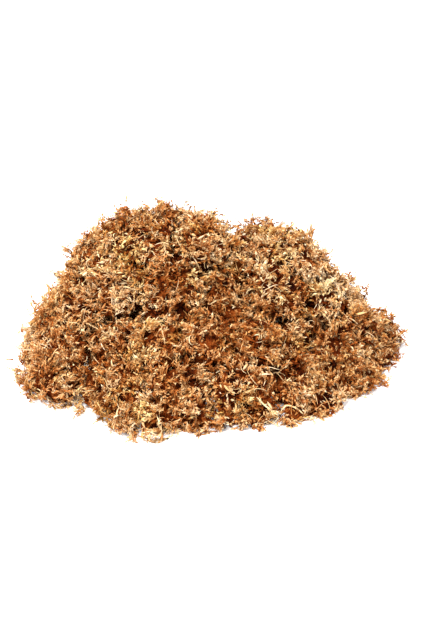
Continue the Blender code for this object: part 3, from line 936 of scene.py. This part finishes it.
def swept(route, wide, thick, tone, rough, rng):
    """A closed oval stem or scrap along a route, with an uneven surface and streaks of tone along it."""
    count = (len(route) - 1) * LOOSE_FINENESS + 1
    share, place = np.linspace(0, 1, count), np.linspace(0, 1, len(route))
    line = np.stack([np.interp(share, place, route[:, k]) for k in range(3)], axis=1)
    for _ in range(LOOSE_FINENESS):
        line[1:-1] = (line[:-2] + 2 * line[1:-1] + line[2:]) / 4
    tangent = unit(np.gradient(line, axis=0))
    side = perpendicular(tangent, np.cross(tangent, (0, 0, 1.0)) + (TINY, 0, 0))
    top = np.cross(side, tangent)
    rounding = np.sqrt(np.clip(1 - np.abs(2 * share - 1) ** END_SQUARENESS, END_LEAST, 1))
    turns = 2 * math.pi * np.arange(LOOSE_SIDES) / LOOSE_SIDES
    ridges = 1 + rough * RIDGE_SHARE * rng.normal(size=LOOSE_SIDES)[None]
    ridges = ridges + rough * rng.normal(size=(count, LOOSE_SIDES))
    out = np.interp(share, place, wide)[:, None] * rounding[:, None] * ridges * np.cos(turns)
    up = np.interp(share, place, thick)[:, None] * rounding[:, None] * ridges * np.sin(turns)
    rings = line[:, None] + out[..., None] * side[:, None] + up[..., None] * top[:, None]
    points = np.concatenate([rings.reshape(-1, 3), line[[0, -1]]])
    points[:, 2] = np.maximum(points[:, 2], FLOOR_REST)
    faces = []
    for i in range(count - 1):
        for k in range(LOOSE_SIDES):
            a, b = i * LOOSE_SIDES + k, i * LOOSE_SIDES + (k + 1) % LOOSE_SIDES
            faces += [(a, b, b + LOOSE_SIDES), (a, b + LOOSE_SIDES, a + LOOSE_SIDES)]
    first, last = len(points) - 2, len(points) - 1
    for k in range(LOOSE_SIDES):
        after = (k + 1) % LOOSE_SIDES
        faces += [(first, after, k), (last, last - 1 - LOOSE_SIDES + k, last - 1 - LOOSE_SIDES + after)]
    streaks = tone + STREAK_TONE * rng.normal(size=LOOSE_SIDES)[None]
    streaks = streaks + SPECKLE_TONE * rng.normal(size=(count, LOOSE_SIDES))
    tones = np.append(streaks.ravel(), [tone, tone])
    return points, np.array(faces)[:, ::-1], tones, np.zeros(len(points)), np.ones(len(faces), bool)


def shoot(route, start, length, steepness, way, tone, rough, rng):
    """A short side shoot that leaves a stem at this share of its route."""
    at = start * (len(route) - 1)
    i = min(int(at), len(route) - 2)
    root = route[i] + (route[i + 1] - route[i]) * (at - i)
    along = unit(route[i + 1] - route[i])
    aside = unit(np.cross(along, (0, 0, 1.0))) * way
    heading = unit(SHOOT_AHEAD * along + SHOOT_ASIDE * aside + steepness * np.array((0, 0, 1.0)))
    steps = np.linspace(0, 1, SHOOT_STATIONS)[:, None]
    bow = SHOOT_BOW * length * np.sin(math.pi * steps) * aside
    own = root + heading * length * steps + bow
    radii = SHOOT_RADIUS * falling(SHOOT_TAPER, steps[:, 0])
    return swept(own, radii, radii, tone, rough, rng)


def joined(parts):
    """Several groups of points, triangles, tones, hues and smoothness as one."""
    starts = np.cumsum([0] + [len(p[0]) for p in parts[:-1]])
    faces = [p[1] + start for p, start in zip(parts, starts)]
    columns = [np.concatenate([p[k] for p in parts]) for k in (0, 2, 3, 4)]
    return columns[0], np.concatenate(faces), columns[1], columns[2], columns[3]


def bake_map(count):
    """Corner places of a map that gives each pair of triangles its own small square."""
    side = math.ceil(math.sqrt(math.ceil(count / 2)))
    number = np.arange(count)
    cell = number // 2
    corner = np.stack([cell % side, cell // side], axis=1)[:, None]
    lower = np.array([(MAP_NEAR, MAP_NEAR), (MAP_FAR, MAP_NEAR), (MAP_NEAR, MAP_FAR)])
    within = np.where((number % 2 == 0)[:, None, None], lower, 1 - lower)
    return (corner + within) / side


def mesh_piece(name, parts, material):
    """A piece of the visual model, made of these parts, with each point's tone and hue for its material."""
    points, faces, tone, hue, smooth = joined(parts)
    mesh = bpy.data.meshes.new(name)
    mesh.vertices.add(len(points))
    mesh.vertices.foreach_set("co", points.astype(np.float32).ravel())
    mesh.loops.add(faces.size)
    mesh.loops.foreach_set("vertex_index", faces.astype(np.int32).ravel())
    mesh.polygons.add(len(faces))
    mesh.polygons.foreach_set("loop_start", np.arange(0, faces.size, 3, dtype=np.int32))
    mesh.update(calc_edges=True)
    mesh.polygons.foreach_set("use_smooth", smooth)
    for label, values in (("tone", tone), ("hue", hue)):
        mesh.attributes.new(label, "FLOAT", "POINT").data.foreach_set("value", values.astype(np.float32))
    layer = mesh.uv_layers.new(name="OFBake")
    layer.uv.foreach_set("vector", bake_map(len(faces)).astype(np.float32).ravel())
    mesh.materials.append(material)
    piece = bpy.data.objects.new(name, mesh)
    bpy.context.scene.collection.objects.link(piece)
    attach(piece, "root")
    return piece


def node_link(tree, kind, inputs=None, **settings):
    """A shader node with its settings and its inputs, each a value or another node's output."""
    node = tree.nodes.new(kind)
    for name, value in settings.items():
        setattr(node, name, value)
    for key, value in (inputs or {}).items():
        if isinstance(value, bpy.types.NodeSocket):
            tree.links.new(value, node.inputs[key])
        else:
            node.inputs[key].default_value = value
    return node


def dry_material(name, ramp, contrast, roughness):
    """Dry plant matter, finely mottled: each bit's tone picks a colour along a ramp, and its hue tints it."""
    made = bpy.data.materials.new(name)
    made.use_nodes = True
    tree = made.node_tree
    shader = tree.nodes["Principled BSDF"]
    place = node_link(tree, "ShaderNodeTexCoord").outputs["Object"]

    def attribute(label):
        return node_link(tree, "ShaderNodeAttribute", attribute_name=label).outputs["Fac"]

    def noise(scale, detail):
        inputs = {"Vector": place, "Scale": scale, "Detail": detail}
        return node_link(tree, "ShaderNodeTexNoise", inputs).outputs["Fac"]

    def arithmetic(operation, *values):
        return node_link(tree, "ShaderNodeMath", dict(enumerate(values)), operation=operation).outputs[0]

    tone = attribute("tone")
    hue = attribute("hue")
    mottle = noise(MOTTLE_SCALE, MOTTLE_DETAIL)
    blotch = noise(BLOTCH_SCALE, BLOTCH_DETAIL)
    both = arithmetic("ADD", mottle, blotch)
    spread = arithmetic("SUBTRACT", both, 1.0)
    mixed = arithmetic("MULTIPLY_ADD", spread, contrast, tone)
    colours = node_link(tree, "ShaderNodeValToRGB", {"Fac": mixed})
    stops = colours.color_ramp.elements
    while len(stops) < len(ramp):
        stops.new(0.5)
    for stop, (share, colour) in zip(stops, ramp):
        stop.position = share
        stop.color = (*colour, 1)
    colour = colours.outputs["Color"]
    for farthest, tint in ((HUE_REACH, RUST_TINT), (-HUE_REACH, YELLOW_TINT)):
        limits = {"Value": hue, "From Min": 0.0, "From Max": farthest}
        share = node_link(tree, "ShaderNodeMapRange", limits).outputs[0]
        inputs = {MIX_SHARE: share, MIX_COLOURS[0]: colour, MIX_COLOURS[1]: (*tint, 1)}
        mix = node_link(tree, "ShaderNodeMix", inputs, data_type="RGBA", blend_type="MULTIPLY")
        colour = mix.outputs[MIX_RESULT]
    tree.links.new(colour, shader.inputs["Base Color"])
    grain = {"Height": both, "Strength": GRAIN_STRENGTH, "Distance": GRAIN_HEIGHT}
    bump = node_link(tree, "ShaderNodeBump", grain)
    tree.links.new(bump.outputs["Normal"], shader.inputs["Normal"])
    shader.inputs["Roughness"].default_value = roughness
    shader.inputs["Specular IOR Level"].default_value = SPECULAR
    return made


def camera():
    """The photograph's camera, with its lens from half the frame's height."""
    data = bpy.data.cameras.new("camera")
    half_height = FRAME_SIZE[1] / 2 * PIXEL / CAMERA_AWAY
    data.sensor_width = SENSOR
    data.lens = SENSOR / 2 / half_height
    data.clip_end = CAMERA_SIGHT
    made = bpy.data.objects.new("camera", data)
    bpy.context.scene.collection.objects.link(made)
    made.location = CAMERA_PLACE
    made.rotation_euler = CAMERA_BACK.to_track_quat("Z", "Y").to_euler()
    bpy.context.scene.camera = made


def room():
    """A white room that lights the heap from all round."""
    bpy.context.scene.view_settings.view_transform = "Standard"
    world = bpy.data.worlds.new("room")
    world.use_nodes = True
    background = world.node_tree.nodes["Background"]
    background.inputs["Color"].default_value = (1, 1, 1, 1)
    background.inputs["Strength"].default_value = ROOM_LIGHT
    bpy.context.scene.world = world


def lamp():
    """One soft lamp that shines at the middle of the floor."""
    light = bpy.data.lights.new("lamp", "AREA")
    light.shape = "DISK"
    light.size = LAMP_SIZE
    light.energy = LAMP_POWER
    light.color = LAMP_COLOUR
    holder = bpy.data.objects.new("lamp", light)
    bpy.context.scene.collection.objects.link(holder)
    holder.location = LAMP_PLACE
    holder.rotation_euler = LAMP_PLACE.to_track_quat("Z", "Y").to_euler()


def lay_floor():
    """A plain pale floor."""
    half = FLOOR_SIZE / 2
    mesh = bpy.data.meshes.new("floor")
    corners = [(-half, -half, 0), (half, -half, 0), (half, half, 0), (-half, half, 0)]
    mesh.from_pydata(corners, [], [(0, 1, 2, 3)])
    floor = bpy.data.objects.new("floor", mesh)
    bpy.context.scene.collection.objects.link(floor)
    finish = bpy.data.materials.new("floor")
    finish.use_nodes = True
    shader = finish.node_tree.nodes["Principled BSDF"]
    shader.inputs["Base Color"].default_value = (*FLOOR_COLOUR, 1)
    shader.inputs["Roughness"].default_value = FLOOR_ROUGHNESS
    mesh.materials.append(finish)


def dress_tufts(heap, names, materials, leafy, rng):
    """Each tuft's body, painted dark as shade, with its branchlets and what lies loose between them, as one
    piece.
    """
    shapes = {"fibre": fibre_shape(), "curl": curl_shape(), "flake": flake_shape()}
    whole = heap.light.sum()
    for number, name in enumerate(names):
        slot = node_slot(name)
        own = np.flatnonzero(heap.tuft == number)
        parts = [core(*heap.meshes[number], heap, rng)]
        part = heap.light[own].sum() / whole
        if part:
            bits = branchlets(heap, own, KIND_TONES[slot], int(BRANCHLETS * part) + 1, rng)
            bits = heap.clear_of_crevices(bits)
            kind = rng.integers(len(leafy), size=len(bits["root"]))
            for k, shape in enumerate(leafy):
                if (kind == k).any():
                    parts.append(grown(shape, some(bits, kind == k)))
            for label, loose in STRAYS.items():
                bits = strays(heap, own, int(loose["count"] * part) + 1, loose, rng)
                parts.append(grown(shapes[label], heap.clear_of_crevices(bits)))
        piece = mesh_piece("leafy_" + name, parts, materials[slot])
        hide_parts(name)


def dress_loose(materials, rng):
    """The stems, twigs and scraps of bark that lie on the heap, each along its own solid."""
    for name, (shoots, length, steepness, rough) in LOOSE.items():
        slot = node_slot(name)
        route, wide, thick = ring_route(name)
        tone = LOOSE_TONES[slot]
        parts = [swept(route, wide, thick, tone, rough, rng)]
        for i in range(shoots):
            start = SHOOT_FIRST + SHOOT_STRETCH * (i + rng.uniform(0, SHOOT_SHIFT)) / shoots
            long = length * rng.uniform(*SHOOT_LENGTHS)
            parts.append(shoot(route, start, long, steepness, (-1) ** i, tone, rough, rng))
        piece = mesh_piece("fine_" + name, parts, materials[slot])
        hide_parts(name)


def add_laid(heap, materials, leafy, rng):
    """The straws, curls and dark bits that the photograph shows, and the bits fallen round the foot."""
    straws = laid_bits(heap, PALE_STRAWS, STRAW_WIDTH, STRAW_TONE, rng)
    curls = laid_bits(heap, PALE_CURLS, STRAW_WIDTH, CURL_TONE, rng)
    hairs = laid_bits(heap, DARK_HAIRS, HAIR_WIDTH, DARK_TONE, rng)
    stalks = laid_bits(heap, DARK_STALKS, STALK_WIDTH, DARK_TONE, rng)
    pale = [grown(fibre_shape(), straws), grown(curl_shape(), curls)]
    mesh_piece("pale_straws", pale, materials["stem_pale"])
    dark = [grown(fibre_shape(), bits) for bits in (hairs, stalks)]
    mesh_piece("dark_hairs", dark, materials["bark_dark"])
    bits = fallen(heap, FALLEN, rng)
    mesh_piece("fallen_bits", [grown(leafy[0], bits)], materials["moss_straw"])


def main():
    rng = np.random.default_rng(SEED)
    camera()
    room()
    lamp()
    lay_floor()
    materials = {slot: dry_material(slot, *finish) for slot, finish in FINISHES.items()}
    names = sorted(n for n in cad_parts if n.startswith("tuft_"))
    heap = Heap(names, rng)
    leafy = [branchlet_shape(rng, footed) for footed in BRANCHLET_KINDS]
    dress_tufts(heap, names, materials, leafy, rng)
    dress_loose(materials, rng)
    add_laid(heap, materials, leafy, rng)


main()
